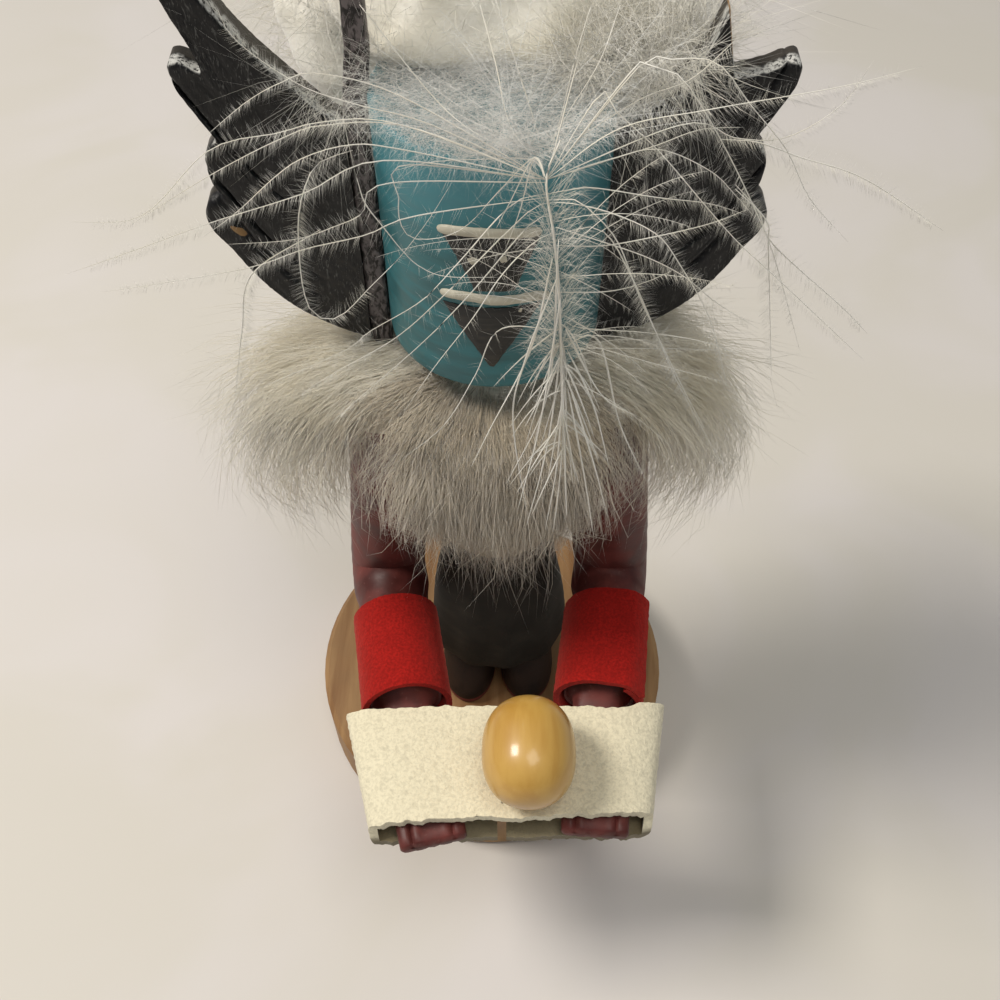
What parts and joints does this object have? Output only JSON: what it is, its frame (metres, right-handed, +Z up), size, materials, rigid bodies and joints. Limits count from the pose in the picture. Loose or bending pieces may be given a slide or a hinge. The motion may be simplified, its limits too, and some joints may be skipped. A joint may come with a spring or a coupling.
{
  "type": "kachina doll",
  "caption": "Small carved and painted kachina doll on a round wooden base, with winged mask, fur ruff, plume and hands held out under a folded suede band.",
  "frame": {"origin": "centre of the base's flat underside", "axes": "+Z up through the figure, -Y towards the way the doll faces, +X to the right as seen from the front"},
  "size_m": [0.0842, 0.0823, 0.152],
  "materials": {
    "plain_pine": "bare sanded pine, a little soiled",
    "painted_body": "black painted dress over pale grey boots, satin",
    "turquoise_paint": "brushed turquoise paint with black and white painted marks, satin",
    "maroon_paint": "maroon paint, slightly glossy",
    "red_suede": "red suede, matt with a short nap",
    "white_suede": "rough white suede, matt",
    "polished_bead": "varnished turned wood, glossy",
    "black_paint": "black paint over carved wood, brushed and worn grey at its edges",
    "white_fur": "long soft white fur",
    "white_down": "white marabou down and barbs"
  },
  "bodies": {
    "root": {"base": "plain_pine", "body": "painted_body", "head": "turquoise_paint", "arm_left": "maroon_paint", "arm_right": "maroon_paint", "cuff_left": "red_suede", "cuff_right": "red_suede", "hand_band": "white_suede", "bead": "polished_bead", "wing_left": "black_paint", "wing_right": "black_paint", "side_stick": "black_paint", "fur_ruff": "white_fur", "plume_down": "white_down", "plume_feather": "white_down"}
  },
  "joints": []
}
